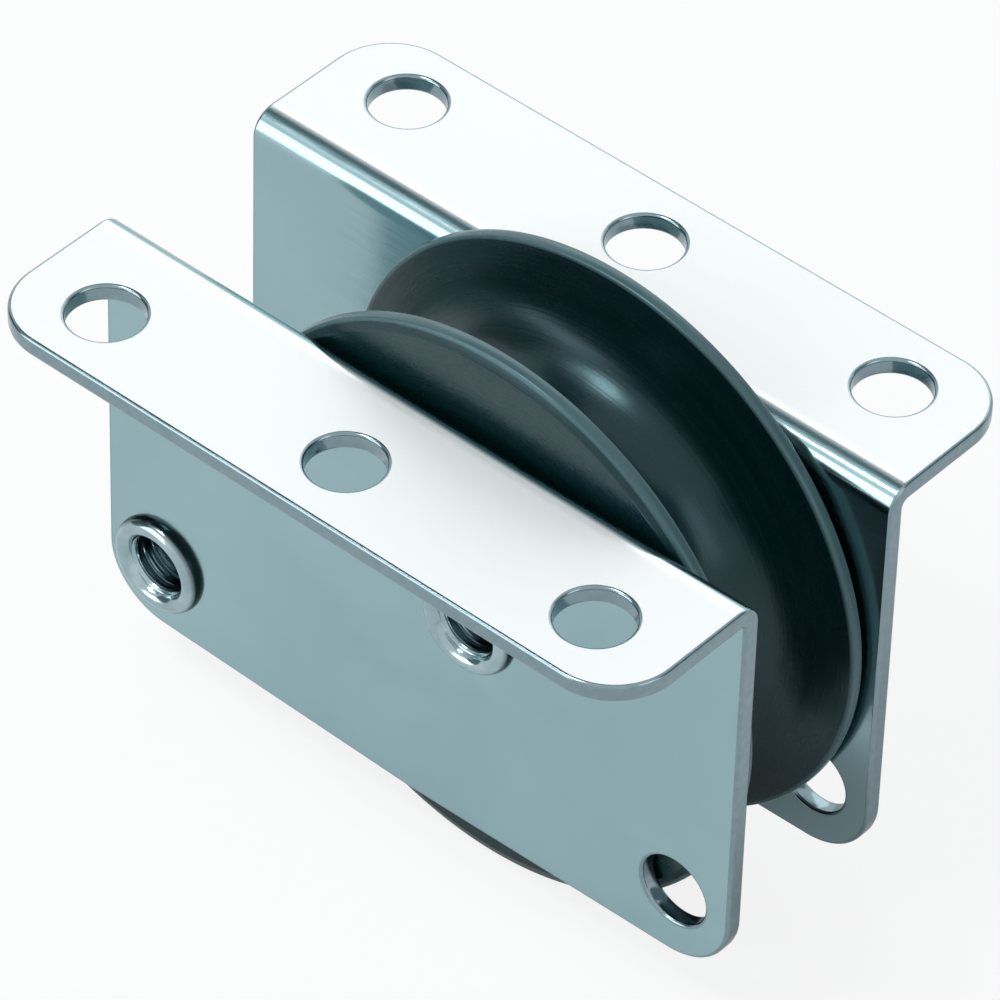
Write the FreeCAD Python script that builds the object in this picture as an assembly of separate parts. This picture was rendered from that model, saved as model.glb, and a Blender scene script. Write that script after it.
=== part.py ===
import FreeCAD, Part
import math
import os

# Sheave exit box: two bent cheek plates riveted together round a grooved sheave.
# Millimetres. The origin is the centre of the flange hole pattern on the undersides of
# the flanges, where the box bears on the deck or mast. +Z points out of the deck, +X
# towards the open holes, and +Y to the left of someone who looks along +X.

# Cheek plates, bent from one thickness of sheet
sheet = 1.6
plate_length = 65.7
cheek_gap = 15.3
flange_reach = 16.0
cheek_depth = 40.7
lower_edge_rise = 0.8
bend_radius = 3.5
flange_corner_radius = 5.8
lower_corner_radius = 5.8
edge_break = 0.3

# Holes in the flanges, and at the lower corners of the cheeks
fastener_hole_diameter = 6.4
fastener_pitch = 25.0
fastener_row_spacing = 34.8
fasteners_per_flange = 3
corner_hole_end_distance = 5.6
corner_hole_edge_distance = 6.5

# Sheave
sheave_diameter = 52.0
rim_clearance = 0.2
lip_width = 1.45
lip_chamfer_width = 1.0
lip_chamfer_depth = 0.4
lip_crown = 0.1
groove_depth = 8.6
groove_flank_angle = 8.0

# Axle, which stands forward of the middle of the plates
axle_forward = 5.8
axle_drop = 17.2
sleeve_wall = 1.8
bush_wall = 2.0
washer_width = 3.0
washer_thickness = 0.5
washer_hole_clearance = 0.1
washer_recess_clearance = 0.3
end_float = 0.1
running_clearance = 0.05

# Tubular rivets, with their ends rolled over the cheeks
rivet_hole_diameter = 6.4
rivet_fit = 0.05
rivet_wall = 0.5
rivet_head_diameter = 9.0
rivet_head_height = 1.05
rivet_flare_depth = 0.5
spacer_wall = 1.3

# Places worked out from the sizes above
inner_face = cheek_gap / 2
outer_face = inner_face + sheet
flange_edge = inner_face + flange_reach
flange_top = sheet
lower_edge_middle = flange_top - cheek_depth
lower_edge_end = lower_edge_middle + lower_edge_rise
plate_end = plate_length / 2
lower_edge_slope = lower_edge_rise / plate_end
corner_hole_x = plate_end - corner_hole_end_distance
corner_hole_z = lower_edge_middle + lower_edge_slope * corner_hole_x + corner_hole_edge_distance

rivet_outer_radius = rivet_hole_diameter / 2 - rivet_fit
rivet_bore_radius = rivet_outer_radius - rivet_wall
tube_bore_radius = rivet_hole_diameter / 2
sleeve_radius = tube_bore_radius + sleeve_wall
bush_bore_radius = sleeve_radius + running_clearance
bush_radius = bush_bore_radius + bush_wall
washer_bore_radius = sleeve_radius + washer_hole_clearance
washer_radius = washer_bore_radius + washer_width
recess_radius = washer_radius + washer_recess_clearance
hub_face = inner_face - washer_thickness - end_float
sheave_face = inner_face - rim_clearance
sheave_radius = sheave_diameter / 2
groove_bottom_radius = sheave_radius - groove_depth


def point(x, y, z):
    return FreeCAD.Vector(x, y, z)


def in_section(radius, y):
    """A point of a round piece's section, which is turned about the Y axis."""
    return point(radius, y, 0)


def line(start, end):
    return Part.LineSegment(start, end).toShape()


def arc(start, middle, end):
    return Part.Arc(start, middle, end).toShape()


def quarter_round(start, corner, end):
    """A quarter of an ellipse from start to end, tangent to the sides of its corner."""
    reach = 4 * (math.sqrt(2) - 1) / 3
    curve = Part.BezierCurve()
    curve.setPoles([start, start + (corner - start) * reach, end + (corner - end) * reach, end])
    return curve.toShape()


def polygon_edges(points):
    return [line(start, end) for start, end in zip(points[:-1], points[1:])]


def filled(edges):
    return Part.Face(Part.Wire(edges))


def turned(edges, x, z):
    """Turns a closed section about the Y axis and moves it to its centre."""
    solid = filled(edges).revolve(point(0, 0, 0), point(0, 1, 0), 360)
    solid.translate(point(x, 0, z))
    return solid


def tube(outer_radius, bore_radius, y_low, y_high, x, z):
    corners = [
        in_section(bore_radius, y_low),
        in_section(outer_radius, y_low),
        in_section(outer_radius, y_high),
        in_section(bore_radius, y_high),
        in_section(bore_radius, y_low),
    ]
    return turned(polygon_edges(corners), x, z)


def mirrored_across(solid):
    """The same piece on the other side of the sheave."""
    return solid.mirror(point(0, 0, 0), point(0, 1, 0))


def bent_sheet():
    """The sheet after bending, still square at its corners: cheek down, flange outwards."""
    inside_radius = bend_radius - sheet
    middle = math.sqrt(0.5)
    bend_y = inner_face + bend_radius
    bend_z = flange_top - bend_radius
    section = [
        line(point(0, flange_edge, flange_top), point(0, bend_y, flange_top)),
        arc(
            point(0, bend_y, flange_top),
            point(0, bend_y - bend_radius * middle, bend_z + bend_radius * middle),
            point(0, inner_face, bend_z),
        ),
        line(point(0, inner_face, bend_z), point(0, inner_face, lower_edge_middle)),
        line(point(0, inner_face, lower_edge_middle), point(0, outer_face, lower_edge_middle)),
        line(point(0, outer_face, lower_edge_middle), point(0, outer_face, bend_z)),
        arc(
            point(0, outer_face, bend_z),
            point(0, bend_y - inside_radius * middle, bend_z + inside_radius * middle),
            point(0, bend_y, bend_z + inside_radius),
        ),
        line(point(0, bend_y, bend_z + inside_radius), point(0, flange_edge, 0)),
        line(point(0, flange_edge, 0), point(0, flange_edge, flange_top)),
    ]
    solid = filled(section).extrude(point(plate_length, 0, 0))
    solid.translate(point(-plate_end, 0, 0))
    return solid


def rounded_prism(corners, radius, rounded, depth):
    """A prism on an outline, with the corners numbered in rounded cut round."""
    prism = filled(polygon_edges(corners + corners[:1])).extrude(depth)
    edges = []
    for edge in prism.Edges:
        ends = [vertex.Point for vertex in edge.Vertexes]
        for number in rounded:
            if all(end.distanceToLine(corners[number], depth) < 1e-6 for end in ends):
                edges.append(edge)
    return prism.makeFillet(radius, edges)


def flange_outline():
    """The plate seen from above: the two free corners of the flange are round."""
    low = flange_top - cheek_depth - sheet
    corners = [
        point(-plate_end, inner_face - sheet, low),
        point(plate_end, inner_face - sheet, low),
        point(plate_end, flange_edge, low),
        point(-plate_end, flange_edge, low),
    ]
    height = point(0, 0, cheek_depth + 2 * sheet)
    return rounded_prism(corners, flange_corner_radius, [2, 3], height)


def cheek_outline():
    """The plate seen from the side: a lower edge that rises to two round corners."""
    side = inner_face - sheet
    corners = [
        point(-plate_end, side, flange_top + sheet),
        point(-plate_end, side, lower_edge_end),
        point(0, side, lower_edge_middle),
        point(plate_end, side, lower_edge_end),
        point(plate_end, side, flange_top + sheet),
    ]
    across = point(0, flange_reach + 2 * sheet, 0)
    return rounded_prism(corners, lower_corner_radius, [1, 3], across)


def fastener_places():
    """Centres of the holes in one flange, along the plate."""
    middle = (fasteners_per_flange - 1) / 2
    return [(number - middle) * fastener_pitch for number in range(fasteners_per_flange)]


def drilled(plate):
    """The plate with its fastener holes, its axle hole and its two corner holes."""
    for x in fastener_places():
        start = point(x, fastener_row_spacing / 2, -sheet)
        plate = plate.cut(Part.makeCylinder(fastener_hole_diameter / 2, 3 * sheet, start))
    across = point(0, 1, 0)
    for x, z in [(axle_forward, -axle_drop), (-corner_hole_x, corner_hole_z), (corner_hole_x, corner_hole_z)]:
        start = point(x, inner_face - sheet, z)
        plate = plate.cut(Part.makeCylinder(rivet_hole_diameter / 2, 3 * sheet, start, across))
    return plate


def outline_edges(plate):
    """The sharp edges that are left all round the plate and at its open holes."""
    riveted = [(axle_forward, -axle_drop), (-corner_hole_x, corner_hole_z)]
    edges = []
    for edge in plate.Edges:
        place = edge.valueAt((edge.FirstParameter + edge.LastParameter) / 2)
        faces = plate.ancestorsOfType(edge, Part.Face)
        normals = [face.normalAt(*face.Surface.parameter(place)) for face in faces]
        sharp = len(faces) == 2 and abs(normals[0].dot(normals[1])) < 0.9
        under_head = any(math.hypot(place.x - x, place.z - z) < rivet_head_diameter / 2 for x, z in riveted)
        if sharp and not under_head:
            edges.append(edge)
    return edges


def cheek_plate():
    """The left cheek plate. The right one is its mirror image."""
    plate = bent_sheet().common(flange_outline()).common(cheek_outline())
    plate = drilled(plate)
    edges = outline_edges(plate)
    return plate.makeFillet(edge_break, edges)


def groove_radius():
    """The groove's round bottom, which is tangent to its straight flanks."""
    angle = math.radians(groove_flank_angle)
    half_width = sheave_face - lip_width
    flank_height = sheave_radius - lip_crown - groove_bottom_radius
    across_bottom = math.cos(angle) - math.tan(angle) * (1 - math.sin(angle))
    return (half_width - flank_height * math.tan(angle)) / across_bottom


def sheave():
    """Half of the section from the hub to the middle of the groove, then its mirror."""
    angle = math.radians(groove_flank_angle)
    radius = groove_radius()
    groove_centre = groove_bottom_radius + radius
    lip_inside = sheave_face - lip_width
    lip_outside = sheave_face - lip_chamfer_depth
    lip_base = sheave_radius - lip_crown
    tangent_y = radius * math.cos(angle)
    tangent_radius = groove_centre - radius * math.sin(angle)
    half_turn = math.radians((90 - groove_flank_angle) / 2)
    middle_y = radius * math.sin(half_turn)
    middle_radius = groove_centre - radius * math.cos(half_turn)
    half = polygon_edges([
        in_section(bush_radius, 0),
        in_section(bush_radius, hub_face),
        in_section(recess_radius, hub_face),
        in_section(recess_radius, sheave_face),
        in_section(sheave_radius - lip_chamfer_width, sheave_face),
        in_section(lip_base, lip_outside),
    ])
    half.append(arc(
        in_section(lip_base, lip_outside),
        in_section(sheave_radius, (lip_inside + lip_outside) / 2),
        in_section(lip_base, lip_inside),
    ))
    half.append(line(in_section(lip_base, lip_inside), in_section(tangent_radius, tangent_y)))
    half.append(arc(
        in_section(tangent_radius, tangent_y),
        in_section(middle_radius, middle_y),
        in_section(groove_bottom_radius, 0),
    ))
    half.append(line(in_section(groove_bottom_radius, 0), in_section(bush_radius, 0)))
    left = filled(half).revolve(point(0, 0, 0), point(0, 1, 0), 360)
    wheel = left.fuse(mirrored_across(left)).removeSplitter()
    wheel.translate(point(axle_forward, 0, -axle_drop))
    return wheel


def sheave_bush():
    return tube(bush_radius, bush_bore_radius, -hub_face, hub_face, axle_forward, -axle_drop)


def axle_sleeve():
    """The tube that the sheave turns on. It also holds the cheeks apart."""
    return tube(sleeve_radius, tube_bore_radius, -inner_face, inner_face, axle_forward, -axle_drop)


def corner_spacer():
    radius = tube_bore_radius + spacer_wall
    return tube(radius, tube_bore_radius, -inner_face, inner_face, -corner_hole_x, corner_hole_z)


def thrust_washer():
    """The left washer, between the hub and the cheek."""
    low = inner_face - washer_thickness
    return tube(washer_radius, washer_bore_radius, low, inner_face, axle_forward, -axle_drop)


def tubular_rivet(x, z):
    """A tube with both ends rolled outwards over the cheeks into round beads."""
    head_radius = rivet_head_diameter / 2
    crown_radius = (rivet_bore_radius + head_radius) / 2
    crown = outer_face + rivet_head_height
    flare_start = outer_face - rivet_flare_depth
    half = [
        line(in_section(rivet_bore_radius, 0), in_section(rivet_bore_radius, flare_start)),
        quarter_round(
            in_section(rivet_bore_radius, flare_start),
            in_section(rivet_bore_radius, crown),
            in_section(crown_radius, crown),
        ),
        quarter_round(
            in_section(crown_radius, crown),
            in_section(head_radius, crown),
            in_section(head_radius, outer_face),
        ),
        line(in_section(head_radius, outer_face), in_section(rivet_outer_radius, outer_face)),
        line(in_section(rivet_outer_radius, outer_face), in_section(rivet_outer_radius, 0)),
        line(in_section(rivet_outer_radius, 0), in_section(rivet_bore_radius, 0)),
    ]
    left = filled(half).revolve(point(0, 0, 0), point(0, 1, 0), 360)
    rivet = left.fuse(mirrored_across(left)).removeSplitter()
    rivet.translate(point(x, 0, z))
    return rivet


def build():
    os.makedirs("parts", exist_ok=True)
    left_plate = cheek_plate()
    left_washer = thrust_washer()
    pieces = {
        "left_cheek_plate": left_plate,
        "right_cheek_plate": mirrored_across(left_plate),
        "sheave": sheave(),
        "sheave_bush": sheave_bush(),
        "axle_sleeve": axle_sleeve(),
        "axle_rivet": tubular_rivet(axle_forward, -axle_drop),
        "left_thrust_washer": left_washer,
        "right_thrust_washer": mirrored_across(left_washer),
        "corner_spacer": corner_spacer(),
        "corner_rivet": tubular_rivet(-corner_hole_x, corner_hole_z),
    }
    for name, shape in pieces.items():
        solid = shape.Solids[0]
        print(name, "solids", len(shape.Solids), "valid", solid.isValid(), "volume", round(solid.Volume, 1))
        solid.exportStep("parts/" + name + ".step")


build()
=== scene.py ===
import bpy
import bmesh
import math
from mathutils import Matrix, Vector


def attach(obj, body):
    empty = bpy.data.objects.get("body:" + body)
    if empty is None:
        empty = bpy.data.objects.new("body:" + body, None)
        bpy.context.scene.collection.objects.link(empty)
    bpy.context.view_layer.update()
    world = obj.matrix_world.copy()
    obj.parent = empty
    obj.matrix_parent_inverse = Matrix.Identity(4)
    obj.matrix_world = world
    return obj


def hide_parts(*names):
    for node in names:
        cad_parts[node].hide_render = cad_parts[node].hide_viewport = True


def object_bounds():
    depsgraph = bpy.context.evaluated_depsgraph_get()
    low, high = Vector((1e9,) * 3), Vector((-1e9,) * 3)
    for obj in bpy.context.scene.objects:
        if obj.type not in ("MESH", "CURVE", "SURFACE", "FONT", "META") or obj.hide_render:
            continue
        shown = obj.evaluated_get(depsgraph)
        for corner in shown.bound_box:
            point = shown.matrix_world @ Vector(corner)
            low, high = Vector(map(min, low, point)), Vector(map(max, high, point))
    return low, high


# Sheave exit box, dressed for the picture. Pieces are modelled in millimetres and
# brought to metres by finishPiece, so the numbers below read like the drawing.

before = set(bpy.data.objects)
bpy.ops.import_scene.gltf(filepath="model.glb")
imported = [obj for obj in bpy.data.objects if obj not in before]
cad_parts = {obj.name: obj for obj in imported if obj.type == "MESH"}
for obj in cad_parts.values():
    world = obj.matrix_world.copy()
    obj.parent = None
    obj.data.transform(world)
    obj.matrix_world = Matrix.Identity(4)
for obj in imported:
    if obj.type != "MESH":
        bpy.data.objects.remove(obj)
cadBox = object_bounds()
print("frame loaded:", len(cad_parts), "nodes")


# Small hands for edit mode

def leaveEditMode():
    if bpy.context.mode != "OBJECT":
        bpy.ops.object.mode_set(mode="OBJECT")


def pickOnly(piece):
    leaveEditMode()
    bpy.ops.object.select_all(action="DESELECT")
    piece.select_set(True)
    bpy.context.view_layer.objects.active = piece


def editMode(piece, kind="VERT"):
    pickOnly(piece)
    bpy.ops.object.mode_set(mode="EDIT")
    bpy.ops.mesh.select_mode(type=kind)
    bpy.ops.mesh.select_all(action="DESELECT")


def newPiece(name):
    # the primitive that was just added becomes the piece
    piece = bpy.context.object
    piece.name = name
    piece.data.name = name
    bpy.ops.object.transform_apply(location=True, rotation=True, scale=True)
    return piece


def clearSelection():
    leaveEditMode()
    bpy.ops.object.select_all(action="DESELECT")


def selectEdges(piece, wanted):
    # an edge is taken when both its ends fit
    bpy.ops.mesh.select_mode(type="EDGE")
    bpy.ops.mesh.select_all(action="DESELECT")
    sketch = bmesh.from_edit_mesh(piece.data)
    for edge in sketch.edges:
        edge.select_set(all(wanted(vert.co) for vert in edge.verts))
    bmesh.update_edit_mesh(piece.data)


def selectPoints(piece, wanted):
    bpy.ops.mesh.select_mode(type="VERT")
    bpy.ops.mesh.select_all(action="DESELECT")
    sketch = bmesh.from_edit_mesh(piece.data)
    for vert in sketch.verts:
        vert.select_set(wanted(vert.co))
    bmesh.update_edit_mesh(piece.data)


def near(value, target, slack=0.02):
    return abs(value - target) < slack


weldGap = 0.0005    # millimetres, points nearer than this become one


def drawnSection(name, section, start):
    # a closed line in the plane across X, walked point by point
    clearSelection()
    first = section[0]
    bpy.ops.mesh.primitive_plane_add(size=1, location=(start[0], first[0], start[1] + first[1]))
    piece = newPiece(name)
    editMode(piece)
    bpy.ops.mesh.select_all(action="SELECT")
    bpy.ops.mesh.merge(type="CENTER")
    bpy.ops.mesh.select_all(action="SELECT")
    for last, following in zip(section[:-1], section[1:]):
        step = (0, following[0] - last[0], following[1] - last[1])
        bpy.ops.mesh.extrude_region_move(TRANSFORM_OT_translate={"value": step})
    bpy.ops.mesh.select_all(action="SELECT")
    bpy.ops.mesh.remove_doubles(threshold=weldGap)
    leaveEditMode()
    return piece


def drill(piece, place, radius, turn=(0, 0, 0), depth=8.0, sides=96):
    # a straight hole through the sheet, cut with a round bar
    clearSelection()
    bpy.ops.mesh.primitive_cylinder_add(vertices=sides, radius=radius, depth=depth, location=place, rotation=turn)
    bar = newPiece("drillBar")
    pickOnly(piece)
    cut = piece.modifiers.new("hole", "BOOLEAN")
    cut.operation = "DIFFERENCE"
    cut.solver = "EXACT"
    cut.object = bar
    bpy.ops.object.modifier_apply(modifier=cut.name)
    bpy.data.objects.remove(bar)


def finishPiece(piece, weighted=False):
    # to metres, then smooth shading with the true corners kept
    pickOnly(piece)
    bpy.ops.transform.resize(value=(0.001, 0.001, 0.001), center_override=(0, 0, 0))
    bpy.ops.object.transform_apply(location=True, rotation=True, scale=True)
    bpy.ops.object.shade_smooth_by_angle(angle=math.radians(40))
    if weighted:
        flatFirst = piece.modifiers.new("flatFirst", "WEIGHTED_NORMAL")
        flatFirst.keep_sharp = True
        flatFirst.weight = 80
        bpy.ops.object.modifier_apply(modifier=flatFirst.name)


# Materials

class Recipe:
    # one material's node tree, with short ways to add and join nodes
    def __init__(self, name):
        self.material = bpy.data.materials.new(name)
        self.material.use_nodes = True
        self.nodes = self.material.node_tree.nodes
        self.links = self.material.node_tree.links
        self.shader = self.nodes["Principled BSDF"]
        self.place = self.add("ShaderNodeTexCoord").outputs["Object"]

    def add(self, kind, **values):
        node = self.nodes.new(kind)
        for key, value in values.items():
            setattr(node, key, value)
        return node

    def join(self, source, target):
        self.links.new(source, target)

    def stretched(self, scale, shift=(0, 0, 0), turn=(0, 0, 0)):
        mapping = self.add("ShaderNodeMapping")
        mapping.inputs["Scale"].default_value = scale
        mapping.inputs["Location"].default_value = shift
        mapping.inputs["Rotation"].default_value = turn
        self.join(self.place, mapping.inputs["Vector"])
        return mapping.outputs["Vector"]

    def noise(self, vector, scale, detail=3.0, roughness=0.5, distortion=0.0):
        texture = self.add("ShaderNodeTexNoise")
        self.join(vector, texture.inputs["Vector"])
        texture.inputs["Scale"].default_value = scale
        texture.inputs["Detail"].default_value = detail
        texture.inputs["Roughness"].default_value = roughness
        texture.inputs["Distortion"].default_value = distortion
        return texture.outputs["Fac"]

    def lineNoise(self, along, scale, detail=3.0, roughness=0.6):
        # noise that changes with one value only, for turned rings
        texture = self.add("ShaderNodeTexNoise", noise_dimensions="1D")
        self.join(along, texture.inputs["W"])
        texture.inputs["Scale"].default_value = scale
        texture.inputs["Detail"].default_value = detail
        texture.inputs["Roughness"].default_value = roughness
        return texture.outputs["Fac"]

    def math(self, operation, first, second=0.0):
        node = self.add("ShaderNodeMath", operation=operation)
        for socket, value in zip(node.inputs, (first, second)):
            if isinstance(value, (int, float)):
                socket.default_value = value
            else:
                self.join(value, socket)
        return node.outputs["Value"]

    def spread(self, value, low, high, toLow=0.0, toHigh=1.0):
        node = self.add("ShaderNodeMapRange")
        self.join(value, node.inputs["Value"])
        node.inputs["From Min"].default_value = low
        node.inputs["From Max"].default_value = high
        node.inputs["To Min"].default_value = toLow
        node.inputs["To Max"].default_value = toHigh
        return node.outputs["Result"]

    def blend(self, amount, first, second):
        node = self.add("ShaderNodeMix", data_type="RGBA")
        self.join(amount, node.inputs["Factor"])
        for socket, value in ((node.inputs["A"], first), (node.inputs["B"], second)):
            if isinstance(value, tuple):
                socket.default_value = (*value, 1.0)
            else:
                self.join(value, socket)
        return node.outputs["Result"]

    def bump(self, height, strength, distance, after=None):
        node = self.add("ShaderNodeBump")
        node.inputs["Strength"].default_value = strength
        node.inputs["Distance"].default_value = distance
        self.join(height, node.inputs["Height"])
        if after is not None:
            self.join(after, node.inputs["Normal"])
        return node.outputs["Normal"]

    def fromAxle(self, centre):
        # distance from a centre line along Y, and the place along it
        split = self.add("ShaderNodeSeparateXYZ")
        self.join(self.stretched((1, 1, 1), (-centre[0], 0, -centre[2])), split.inputs["Vector"])
        squares = [self.math("MULTIPLY", split.outputs[axis], split.outputs[axis]) for axis in ("X", "Z")]
        radius = self.math("SQRT", self.math("ADD", *squares))
        return radius, split.outputs["Y"]

    def finish(self, colour=None, roughness=None, normal=None, **uniform):
        sockets = self.shader.inputs
        for key, value in uniform.items():
            sockets[key.replace("_", " ")].default_value = value
        varied = {"Base Color": colour, "Roughness": roughness, "Normal": normal}
        for name, value in varied.items():
            socket = sockets[name]
            if value is None:
                continue
            if isinstance(value, tuple):
                socket.default_value = (*value, 1.0)
            elif isinstance(value, float):
                socket.default_value = value
            else:
                self.join(value, socket)
        return self.material


sheetLook = dict(
    bright=(0.335, 0.485, 0.515), dull=(0.30, 0.44, 0.47), smooth=0.11, rough=0.20, scratched=0.08,
    # flange colour and bare metallic: painted highlight, the flange tops painted pale for the lamp light on them
    flange=(0.87, 0.90, 0.91), satin=0.40, bare=0.30,
    paleFrom=0.0092, paleTo=0.0097, satinTo=0.0105,    # metres from the middle, where the bend meets the flange
)


def polishedSheet():
    look = Recipe("polishedSheet")
    rolled = look.noise(look.stretched((60, 900, 900)), 4.0, 4.0, 0.65)      # polishing lines along the sheet
    smears = look.noise(look.stretched((1, 1, 1)), 55.0, 3.0, 0.6, 0.6)      # wiped patches
    waves = look.noise(look.stretched((1, 0.6, 1)), 28.0, 1.0, 0.4)          # the sheet is never quite flat
    scratches = look.noise(look.stretched((25, 2600, 2600), turn=(0.05, 0.04, 0.09)), 1.0, 1.0)
    fine = look.spread(scratches, 0.68, 0.74)
    colour = look.blend(look.spread(smears, 0.3, 0.7), sheetLook["bright"], sheetLook["dull"])
    wear = look.math("ADD", look.math("MULTIPLY", rolled, 0.5), look.math("MULTIPLY", smears, 0.5))
    worn = look.spread(wear, 0.35, 0.65, sheetLook["smooth"], sheetLook["rough"])
    roughness = look.math("ADD", worn, look.math("MULTIPLY", fine, sheetLook["scratched"]))
    # the flanges get a rougher satin that ends where the bend begins; their tops are painted pale and less metallic,
    # a painted highlight for the lamp light that turns them white
    across = look.add("ShaderNodeSeparateXYZ")
    look.join(look.place, across.inputs["Vector"])
    fromMiddle = look.math("ABSOLUTE", across.outputs["Y"])
    onFlange = look.spread(fromMiddle, sheetLook["paleTo"], sheetLook["satinTo"])
    roughness = look.math("ADD", roughness, look.math("MULTIPLY", onFlange, sheetLook["satin"]))
    outward = look.spread(fromMiddle, sheetLook["paleFrom"], sheetLook["paleTo"])
    paintedFlangeHighlight = look.math("MULTIPLY", outward, look.spread(across.outputs["Z"], -0.0003, 0.0))
    colour = look.blend(paintedFlangeHighlight, colour, sheetLook["flange"])
    metal = look.spread(paintedFlangeHighlight, 0.0, 1.0, 1.0, sheetLook["bare"])
    look.join(metal, look.shader.inputs["Metallic"])
    normal = look.bump(waves, 0.12, 0.0006)
    normal = look.bump(rolled, 0.05, 0.00002, normal)
    normal = look.bump(fine, 0.10, 0.00001, normal)
    return look.finish(colour, roughness, normal)


edgeLook = dict(bright=(0.25, 0.34, 0.37), dull=(0.21, 0.29, 0.32), smooth=0.12, rough=0.20)


def shearedEdge():
    look = Recipe("shearedEdge")
    drag = look.noise(look.stretched((500, 500, 500)), 1.0, 2.0, 0.5)        # soft buffing marks on the cut edge
    grain = look.noise(look.stretched((1, 1, 1)), 1400.0, 3.0, 0.6)
    colour = look.blend(look.spread(grain, 0.3, 0.7), edgeLook["bright"], edgeLook["dull"])
    roughness = look.spread(drag, 0.3, 0.7, edgeLook["smooth"], edgeLook["rough"])
    normal = look.bump(drag, 0.12, 0.00003)
    normal = look.bump(grain, 0.04, 0.00001, normal)
    return look.finish(colour, roughness, normal, Metallic=1.0)


sheaveLook = dict(
    black=(0.0, 0.007, 0.008), grey=(0.0005, 0.012, 0.014), lip=(0.055, 0.105, 0.115),
    smooth=0.20, rough=0.28, dusty=0.04, shine=0.55, tint=(0.52, 0.90, 1.0, 1.0),
    lipFrom=0.00045, lipTo=0.00025,    # metres in from the rim, where the pale lip begins
)


def turnedAcetal(centre, rim):
    look = Recipe("turnedAcetal")
    radius, across = look.fromAxle(centre)
    ringsOut = look.lineNoise(radius, 5200.0, 4.0, 0.7)                      # rings left by the turning tool
    ringsAcross = look.lineNoise(across, 5200.0, 4.0, 0.7)
    bandsOut = look.lineNoise(radius, 900.0, 3.0, 0.6)
    bandsAcross = look.lineNoise(across, 900.0, 3.0, 0.6)
    rings = look.math("MULTIPLY", look.math("ADD", ringsOut, ringsAcross), 0.5)
    bands = look.math("MULTIPLY", look.math("ADD", bandsOut, bandsAcross), 0.5)
    dust = look.noise(look.stretched((1, 1, 1)), 420.0, 4.0, 0.65)
    colour = look.blend(look.spread(bands, 0.35, 0.65), sheaveLook["black"], sheaveLook["grey"])
    # painted reflection: the flat lip round the rim is painted paler, for the sky light it reflects
    onPaintedLip = look.spread(radius, rim - sheaveLook["lipFrom"], rim - sheaveLook["lipTo"])
    colour = look.blend(onPaintedLip, colour, sheaveLook["lip"])
    turned = look.spread(rings, 0.3, 0.7, sheaveLook["smooth"], sheaveLook["rough"])
    roughness = look.math("ADD", turned, look.spread(dust, 0.3, 0.7, 0.0, sheaveLook["dusty"]))
    inGroove = look.math("SUBTRACT", 1.0, onPaintedLip)
    normal = look.bump(look.math("MULTIPLY", rings, inGroove), 0.60, 0.00002)
    normal = look.bump(look.math("MULTIPLY", bands, inGroove), 0.20, 0.00004, normal)
    gloss = dict(IOR=1.5, Specular_IOR_Level=sheaveLook["shine"], Specular_Tint=sheaveLook["tint"])
    return look.finish(colour, roughness, normal, **gloss)


rivet = dict(outside=3.15, bore=2.65, head=4.5, headHeight=1.05, flare=0.5, seat=9.25, arcSteps=12, turnSteps=96)
rivetLook = dict(
    bright=(0.42, 0.54, 0.57), dull=(0.28, 0.38, 0.41), smooth=0.11, rough=0.20,
    paintedFootShade=(0.012, 0.024, 0.027),    # the shadow line under the bead
)


def rolledRivet(name, centre):
    look = Recipe(name)
    radius, across = look.fromAxle(centre)
    rings = look.lineNoise(radius, 4200.0, 3.0, 0.6)                         # marks of the setting tool
    patches = look.noise(look.stretched((1, 1, 1)), 320.0, 3.0, 0.6)
    colour = look.blend(look.spread(patches, 0.3, 0.7), rivetLook["bright"], rivetLook["dull"])
    # painted shade: a dark line where the bead meets the sheet, standing in for the shadow and dark reflection under
    # the bead
    seat = rivet["seat"]
    head = rivet["head"]
    low = look.spread(look.math("ABSOLUTE", across), (seat + 0.45) / 1000, (seat + 0.85) / 1000, 1.0, 0.0)
    paintedFootShade = look.math("MULTIPLY", low, look.spread(radius, (head - 0.7) / 1000, (head - 0.4) / 1000))
    colour = look.blend(paintedFootShade, colour, rivetLook["paintedFootShade"])
    wear = look.math("ADD", look.math("MULTIPLY", rings, 0.6), look.math("MULTIPLY", patches, 0.4))
    roughness = look.spread(wear, 0.35, 0.65, rivetLook["smooth"], rivetLook["rough"])
    inBore = look.spread(radius, (rivet["bore"] + 0.15) / 1000, (rivet["bore"] + 0.05) / 1000)
    ridges = look.math("MULTIPLY", look.lineNoise(across, 1500.0, 1.0), inBore)    # the tube is left as drawn inside
    normal = look.bump(rings, 0.20, 0.00002)
    normal = look.bump(ridges, 0.8, 0.00035, normal)
    normal = look.bump(patches, 0.15, 0.00004, normal)
    return look.finish(colour, roughness, normal, Metallic=1.0)


tubeLook = dict(bright=(0.48, 0.57, 0.60), dull=(0.36, 0.44, 0.47), smooth=0.22, rough=0.38)


def drawnTube():
    look = Recipe("drawnTube")
    drawn = look.noise(look.stretched((1500, 40, 1500)), 2.0, 3.0, 0.6)
    haze = look.noise(look.stretched((1, 1, 1)), 260.0, 2.0, 0.5)
    colour = look.blend(look.spread(haze, 0.3, 0.7), tubeLook["bright"], tubeLook["dull"])
    roughness = look.spread(drawn, 0.3, 0.7, tubeLook["smooth"], tubeLook["rough"])
    normal = look.bump(drawn, 0.25, 0.00002)
    return look.finish(colour, roughness, normal, Metallic=1.0)


bronzeLook = dict(bright=(0.46, 0.32, 0.16), dull=(0.26, 0.17, 0.08), smooth=0.30, rough=0.52)


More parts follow.
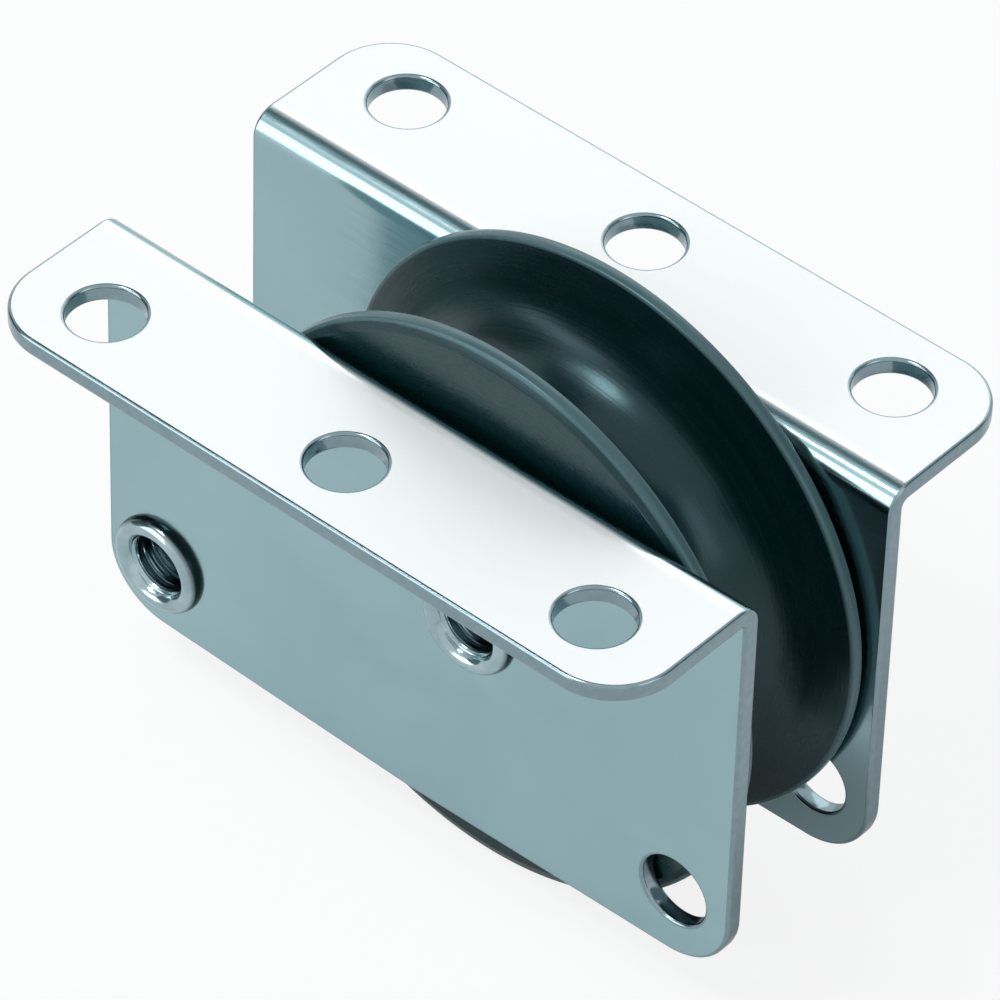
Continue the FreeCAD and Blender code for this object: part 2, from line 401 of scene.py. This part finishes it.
def oiledBronze():
    look = Recipe("oiledBronze")
    pores = look.noise(look.stretched((1, 1, 1)), 5200.0, 3.0, 0.7)
    stains = look.noise(look.stretched((1, 1, 1)), 380.0, 3.0, 0.6)
    colour = look.blend(look.spread(stains, 0.3, 0.7), bronzeLook["bright"], bronzeLook["dull"])
    roughness = look.spread(pores, 0.35, 0.7, bronzeLook["smooth"], bronzeLook["rough"])
    normal = look.bump(pores, 0.30, 0.00003)
    return look.finish(colour, roughness, normal, Metallic=1.0)


washerLook = dict(bright=(0.78, 0.78, 0.74), dull=(0.70, 0.70, 0.66), smooth=0.34, rough=0.46)


def paleAcetal():
    look = Recipe("paleAcetal")
    flow = look.noise(look.stretched((1, 1, 1)), 240.0, 3.0, 0.5)
    skin = look.noise(look.stretched((1, 1, 1)), 3000.0, 2.0, 0.5)
    colour = look.blend(look.spread(flow, 0.3, 0.7), washerLook["bright"], washerLook["dull"])
    roughness = look.spread(skin, 0.3, 0.7, washerLook["smooth"], washerLook["rough"])
    normal = look.bump(skin, 0.15, 0.00002)
    return look.finish(colour, roughness, normal, IOR=1.48)


# Cheek plates: one bent sheet each, with round corners and broken edges

plate = dict(
    sheet=1.6, length=65.7, gap=15.3, reach=16.0, depth=40.7, endRise=0.8,
    bendRadius=2.2, flangeCorner=5.8, cheekCorner=5.8, edgeRound=0.3,
    holeRadius=3.2, holePitch=25.0, rowSpacing=34.8,
    bendSteps=14, insideSteps=6, cornerSteps=18, edgeSteps=3,
)
axle = dict(x=5.8, z=-17.2)
corner = dict(x=27.25, z=-31.936)


def cheekPlate(name):
    inner = plate["gap"] / 2
    outer = inner + plate["sheet"]
    edge = inner + plate["reach"]
    top = plate["sheet"]
    low = top - plate["depth"]
    end = plate["length"] / 2
    section = [(inner, top), (edge, top), (edge, 0), (outer, 0), (outer, low), (inner, low), (inner, top)]
    piece = drawnSection(name, section, (-end, 0))
    editMode(piece)
    bpy.ops.mesh.select_all(action="SELECT")
    bpy.ops.mesh.edge_face_add()
    bpy.ops.mesh.extrude_region_move(TRANSFORM_OT_translate={"value": (plate["length"], 0, 0)})
    bpy.ops.mesh.select_all(action="SELECT")
    bpy.ops.mesh.normals_make_consistent(inside=False)
    bpy.ops.mesh.bisect(plane_co=(0, 0, 0), plane_no=(1, 0, 0))
    # the lower edge rises a little to both ends
    selectPoints(piece, lambda co: near(co.z, low) and abs(co.x) > end - 1)
    bpy.ops.transform.translate(value=(0, 0, plate["endRise"]))
    # bend, outside then inside
    selectEdges(piece, lambda co: near(co.y, inner) and near(co.z, top))
    bpy.ops.mesh.bevel(offset=plate["bendRadius"], segments=plate["bendSteps"], affect="EDGES")
    selectEdges(piece, lambda co: near(co.y, outer) and near(co.z, 0))
    insideRadius = plate["bendRadius"] - plate["sheet"]
    bpy.ops.mesh.bevel(offset=insideRadius, segments=plate["insideSteps"], affect="EDGES")
    # free corners of the flange, then the lower corners of the cheek
    selectEdges(piece, lambda co: near(co.y, edge) and near(abs(co.x), end))
    bpy.ops.mesh.bevel(offset=plate["flangeCorner"], segments=plate["cornerSteps"], affect="EDGES")
    selectEdges(piece, lambda co: near(co.z, low + plate["endRise"]) and near(abs(co.x), end))
    bpy.ops.mesh.bevel(offset=plate["cheekCorner"], segments=plate["cornerSteps"], affect="EDGES")
    leaveEditMode()
    for x in (-plate["holePitch"], 0, plate["holePitch"]):
        drill(piece, (x, plate["rowSpacing"] / 2, top / 2), plate["holeRadius"])
    across = (math.radians(90), 0, 0)
    for x, z in ((axle["x"], axle["z"]), (-corner["x"], corner["z"]), (corner["x"], corner["z"])):
        drill(piece, (x, (inner + outer) / 2, z), plate["holeRadius"], across)
    pickOnly(piece)
    broken = piece.modifiers.new("brokenEdges", "BEVEL")
    broken.width = plate["edgeRound"]
    broken.segments = plate["edgeSteps"]
    broken.limit_method = "ANGLE"
    broken.angle_limit = math.radians(40)
    broken.use_clamp_overlap = False
    bpy.ops.object.modifier_apply(modifier=broken.name)
    return piece


def markEdgeFaces(piece):
    # faces off the rolled skins take the second material
    inner = plate["gap"] / 2
    centreY = inner + plate["bendRadius"]
    centreZ = plate["sheet"] - plate["bendRadius"]
    for face in piece.data.polygons:
        y = abs(face.center.y)
        z = face.center.z
        normal = face.normal
        bend = y < centreY and z > centreZ and abs(normal.x) < 0.05
        cheek = abs(normal.y) > 0.995 and (near(y, inner) or near(y, inner + plate["sheet"]))
        flange = abs(normal.z) > 0.995 and (near(z, 0) or near(z, plate["sheet"]))
        face.material_index = 0 if (bend or cheek or flange) else 1


leftPlate = cheekPlate("leftCheekSheet")
sheetSkin = polishedSheet()
sheetEdge = shearedEdge()
leftPlate.data.materials.append(sheetSkin)
leftPlate.data.materials.append(sheetEdge)
markEdgeFaces(leftPlate)
pickOnly(leftPlate)
bpy.ops.object.duplicate()
rightPlate = bpy.context.object
rightPlate.name = "rightCheekSheet"
rightPlate.data.name = "rightCheekSheet"
bpy.ops.transform.mirror(constraint_axis=(False, True, False), center_override=(0, 0, 0))
bpy.ops.object.transform_apply(location=True, rotation=True, scale=True)
editMode(rightPlate)
bpy.ops.mesh.select_all(action="SELECT")
bpy.ops.mesh.normals_make_consistent(inside=False)
for piece, node in ((leftPlate, "left_cheek_plate"), (rightPlate, "right_cheek_plate")):
    finishPiece(piece, weighted=True)
    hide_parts(node)
    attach(piece, "frame")
print("cheek plates bent and drilled")


# Round pieces: half a section is walked point by point and spun round its axle

def arcPoints(centre, radius, start, stop, count):
    # angles in degrees, 0 along the axle and 90 straight out
    points = []
    for step in range(count + 1):
        angle = math.radians(start + (stop - start) * step / count)
        points.append((centre[0] + radius * math.cos(angle), centre[1] + radius * math.sin(angle)))
    return points


def spunPiece(name, section, centre, rounds, steps):
    # section holds (along the axle, out from it); rounds holds (along, out, radius) of corners
    piece = drawnSection(name, section, centre)
    editMode(piece)
    for along, out, radius in rounds:
        selectPoints(piece, lambda co: near(co.y, along, 0.005) and near(co.z - centre[1], out, 0.005))
        bpy.ops.mesh.bevel(offset=radius, segments=4, affect="VERTICES")
    bpy.ops.mesh.select_all(action="SELECT")
    bpy.ops.mesh.spin(steps=steps, angle=math.tau, center=(centre[0], 0, centre[1]), axis=(0, 1, 0))
    bpy.ops.mesh.select_all(action="SELECT")
    bpy.ops.mesh.remove_doubles(threshold=weldGap)
    bpy.ops.mesh.normals_make_consistent(inside=False)
    leaveEditMode()
    return piece


wheel = dict(
    radius=26.0, face=7.45, lip=1.45, chamferOut=1.0, chamferAlong=0.4, crown=0.1,
    grooveDepth=8.6, flank=8.0, hubFace=7.05, recess=8.4, bore=7.05,
    softFace=0.12, softRecess=0.10, softChamfer=0.08, softLip=0.10,
    crownSteps=10, grooveSteps=26, turnSteps=240,
)


def sheaveSection():
    angle = math.radians(wheel["flank"])
    bottom = wheel["radius"] - wheel["grooveDepth"]
    base = wheel["radius"] - wheel["crown"]
    lipInside = wheel["face"] - wheel["lip"]
    lipOutside = wheel["face"] - wheel["chamferAlong"]
    reach = math.cos(angle) - math.tan(angle) * (1 - math.sin(angle))
    bottomRadius = (lipInside - (base - bottom) * math.tan(angle)) / reach
    half = [(wheel["hubFace"], wheel["bore"]), (wheel["hubFace"], wheel["recess"]), (wheel["face"], wheel["recess"])]
    half.append((wheel["face"], wheel["radius"] - wheel["chamferOut"]))
    middle = (lipInside + lipOutside) / 2
    width = (lipOutside - lipInside) / 2
    crownRadius = (width ** 2 + wheel["crown"] ** 2) / (2 * wheel["crown"])
    spread = math.degrees(math.asin(width / crownRadius))
    crownCentre = (middle, wheel["radius"] - crownRadius)
    half += arcPoints(crownCentre, crownRadius, 90 - spread, 90 + spread, wheel["crownSteps"])
    half += arcPoints((0, bottom + bottomRadius), bottomRadius, -wheel["flank"], -90, wheel["grooveSteps"])
    other = [(-along, out) for along, out in reversed(half[:-1])]
    section = half + other
    return section + section[:1]


wheelCorners = (
    (wheel["face"], wheel["radius"] - wheel["chamferOut"], wheel["softFace"]),
    (wheel["face"], wheel["recess"], wheel["softRecess"]),
    (wheel["face"] - wheel["chamferAlong"], wheel["radius"] - wheel["crown"], wheel["softChamfer"]),
    (wheel["face"] - wheel["lip"], wheel["radius"] - wheel["crown"], wheel["softLip"]),
)
wheelRounds = [(side * along, out, soft) for along, out, soft in wheelCorners for side in (1, -1)]
wheelPiece = spunPiece("turnedSheave", sheaveSection(), (axle["x"], axle["z"]), wheelRounds, wheel["turnSteps"])
finishPiece(wheelPiece)
blackPlastic = turnedAcetal((axle["x"] / 1000, 0, axle["z"] / 1000), wheel["radius"] / 1000)
wheelPiece.data.materials.append(blackPlastic)
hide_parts("sheave")
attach(wheelPiece, "sheave")
print("sheave turned")


def rivetSection():
    seat = rivet["seat"]
    crown = (rivet["bore"] + rivet["head"]) / 2
    half = [(0, rivet["outside"]), (seat, rivet["outside"]), (seat, rivet["head"])]
    rise = rivet["headHeight"]
    drop = rise + rivet["flare"]
    angles = [math.radians(90 * step / rivet["arcSteps"]) for step in range(1, rivet["arcSteps"] + 1)]
    for angle in angles:    # up the outside of the bead, then down into the bore
        half.append((seat + rise * math.sin(angle), crown + (rivet["head"] - crown) * math.cos(angle)))
    for angle in angles:
        half.append((seat + rise - drop * (1 - math.cos(angle)), crown - (crown - rivet["bore"]) * math.sin(angle)))
    half.append((0, rivet["bore"]))
    other = [(-along, out) for along, out in reversed(half[1:-1])]
    return half + other + half[:1]


rivetPlaces = (
    ("axleRivetTube", "axle_rivet", axle["x"], axle["z"]),
    ("cornerRivetTube", "corner_rivet", -corner["x"], corner["z"]),
)
for name, node, x, z in rivetPlaces:
    tube = spunPiece(name, rivetSection(), (x, z), (), rivet["turnSteps"])
    finishPiece(tube)
    tube.data.materials.append(rolledRivet(name + "Steel", (x / 1000, 0, z / 1000)))
    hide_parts(node)
    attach(tube, "frame")
print("rivets rolled")


# Pieces inside keep their solids and get their finish

def dressNode(node, material):
    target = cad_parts[node]
    target.data.materials.clear()
    target.data.materials.append(material)


tubeSteel = drawnTube()
washerPlastic = paleAcetal()
dressNode("sheave_bush", oiledBronze())
dressNode("axle_sleeve", tubeSteel)
dressNode("corner_spacer", tubeSteel)
dressNode("left_thrust_washer", washerPlastic)
dressNode("right_thrust_washer", washerPlastic)
print("inner pieces dressed")


# Floor, light and camera

studio = dict(
    floor=(0.86, 0.875, 0.88), floorSize=6.0, liftSeen=0.85, liftInGloss=0.10, air=(0.36, 0.37, 0.375),
    topPanel=dict(place=(-0.343, -0.439, 1.006), width=0.44, height=0.30, power=6.5),
    backPanel=dict(place=(-0.471, 0.816, 0.567), width=0.90, height=0.70, power=2.1),
    lowPanel=dict(place=(-0.503, -0.806, 0.30), width=0.70, height=0.62, power=3.0),
    sidePanel=dict(place=(0.95, 0.10, 0.45), width=0.6, height=0.6, power=1.0),
    overCard=dict(place=(-0.303, 0.036, 0.518), width=0.56, height=0.30),
    leftCard=dict(place=(-0.545, -0.210, 0.170), width=0.40, height=0.42),
    rightCard=dict(place=(0.440, 0.370, 0.300), width=0.50, height=0.40),
    feltDark=(0.20, 0.27, 0.29), feltPale=(0.23, 0.30, 0.32),
)


def litFloor():
    look = Recipe("paleFloor")
    cloudy = look.noise(look.stretched((1, 1, 1)), 6.0, 3.0, 0.5)
    pale = studio["floor"]
    colour = look.blend(look.spread(cloudy, 0.3, 0.7), pale, tuple(value * 0.985 for value in pale))
    look.finish(colour, 0.75)
    path = look.add("ShaderNodeLightPath")
    seen = look.math("MULTIPLY", path.outputs["Is Camera Ray"], studio["liftSeen"])
    inGloss = look.math("MAXIMUM", path.outputs["Is Glossy Ray"], path.outputs["Is Transmission Ray"])
    lift = look.math("MAXIMUM", seen, look.math("MULTIPLY", inGloss, studio["liftInGloss"]))
    glow = look.add("ShaderNodeEmission")
    glow.inputs["Color"].default_value = (1, 1, 1, 1)
    glow.inputs["Strength"].default_value = 1.0
    mixed = look.add("ShaderNodeMixShader")
    look.join(lift, mixed.inputs["Fac"])
    look.join(look.shader.outputs["BSDF"], mixed.inputs[1])
    look.join(glow.outputs["Emission"], mixed.inputs[2])
    look.join(mixed.outputs["Shader"], look.nodes["Material Output"].inputs["Surface"])
    return look.material


clearSelection()
bpy.ops.mesh.primitive_plane_add(size=studio["floorSize"], location=(0, 0, cadBox[0][2] - 0.0001))
floor = newPiece("studioFloor")
floor.data.materials.append(litFloor())


def facingObject(place):
    # turns a lamp or card so that its -Z looks at the object
    x, y, z = place
    return (math.atan2(math.hypot(x, y), z), 0, math.atan2(y, x) + math.radians(90))


def panel(name):
    settings = studio[name]
    clearSelection()
    place = settings["place"]
    bpy.ops.object.light_add(type="AREA", location=place, rotation=facingObject(place))
    lamp = bpy.context.object
    lamp.name = name
    lamp.data.shape = "RECTANGLE"
    lamp.data.size = settings["width"]
    lamp.data.size_y = settings["height"]
    lamp.data.energy = settings["power"]


def darkCard(name, felt):
    # a studio flag: only the gloss sees it, so the bends and edges get their dark lines
    settings = studio[name]
    clearSelection()
    place = settings["place"]
    bpy.ops.mesh.primitive_plane_add(size=1, location=place, rotation=facingObject(place))
    card = bpy.context.object
    card.scale = (settings["width"], settings["height"], 1)
    card = newPiece(name)
    card.data.materials.append(felt)
    card.visible_camera = False
    card.visible_diffuse = False
    card.visible_shadow = False


def cardFelt():
    look = Recipe("cardFelt")
    nap = look.noise(look.stretched((1, 1, 1)), 40.0, 3.0)
    colour = look.blend(look.spread(nap, 0.3, 0.7), studio["feltDark"], studio["feltPale"])
    return look.finish(colour, 0.95)


for name in ("topPanel", "backPanel", "lowPanel", "sidePanel"):
    panel(name)
felt = cardFelt()
for name in ("overCard", "leftCard", "rightCard"):
    darkCard(name, felt)

# the air is white where it is seen, also in metal, and plain where it lights
world = bpy.context.scene.world or bpy.data.worlds.new("studioAir")
bpy.context.scene.world = world
world.use_nodes = True
air = world.node_tree.nodes
joins = world.node_tree.links
path = air.new("ShaderNodeLightPath")
seen = air.new("ShaderNodeMath")
seen.operation = "MAXIMUM"
joins.new(path.outputs["Is Camera Ray"], seen.inputs[0])
joins.new(path.outputs["Is Glossy Ray"], seen.inputs[1])
seenThrough = air.new("ShaderNodeMath")
seenThrough.operation = "MAXIMUM"
joins.new(seen.outputs["Value"], seenThrough.inputs[0])
joins.new(path.outputs["Is Transmission Ray"], seenThrough.inputs[1])
tone = air.new("ShaderNodeMix")
tone.data_type = "RGBA"
tone.inputs["A"].default_value = (*studio["air"], 1)
tone.inputs["B"].default_value = (1, 1, 1, 1)
joins.new(seenThrough.outputs["Value"], tone.inputs["Factor"])
joins.new(tone.outputs["Result"], air["Background"].inputs["Color"])
air["Background"].inputs["Strength"].default_value = 1.0

view = dict(
    place=(0.2918857, -0.3441123, 0.4023643), turn=(47.282173, -1.301501, 41.442703), lens=282.675,
    sensor=36.0, nearest=0.01, farthest=20.0,
)
clearSelection()
bpy.ops.object.camera_add(location=view["place"], rotation=[math.radians(angle) for angle in view["turn"]])
camera = bpy.context.object
camera.name = "pictureCamera"
camera.data.lens = view["lens"]
camera.data.sensor_width = view["sensor"]
camera.data.clip_start = view["nearest"]
camera.data.clip_end = view["farthest"]
bpy.context.scene.camera = camera
bpy.context.scene.view_settings.view_transform = "Standard"
print("studio set")
